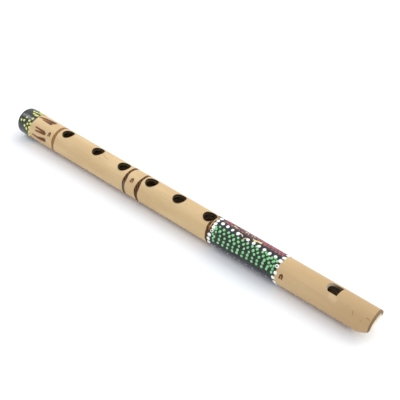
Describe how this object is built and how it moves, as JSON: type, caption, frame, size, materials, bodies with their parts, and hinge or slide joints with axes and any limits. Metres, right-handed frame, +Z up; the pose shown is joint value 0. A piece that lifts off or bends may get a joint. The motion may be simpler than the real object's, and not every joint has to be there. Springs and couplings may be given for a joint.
{
  "type": "bamboo duct flute",
  "caption": "End-blown bamboo duct flute with finger holes, D-shaped window with labium ramp, wooden block, beak-cut mouth end and two painted coats.",
  "frame": {"origin": "on the surface the flute rests on, under the middle of its length", "axes": "+X along the tube towards the mouthpiece, +Z up through the finger holes, Y across"},
  "size_m": [0.33, 0.021, 0.0211],
  "materials": {
    "bamboo": "sanded bamboo skin with fine grain, satin",
    "block_wood": "plain unfinished pale wood",
    "band_paint": "thick black craft paint with raised dots",
    "foot_paint": "thick dark grey craft paint with raised dots"
  },
  "bodies": {
    "root": {"tube": "bamboo", "block": "block_wood", "band_paint": "band_paint", "foot_paint": "foot_paint"}
  },
  "joints": []
}
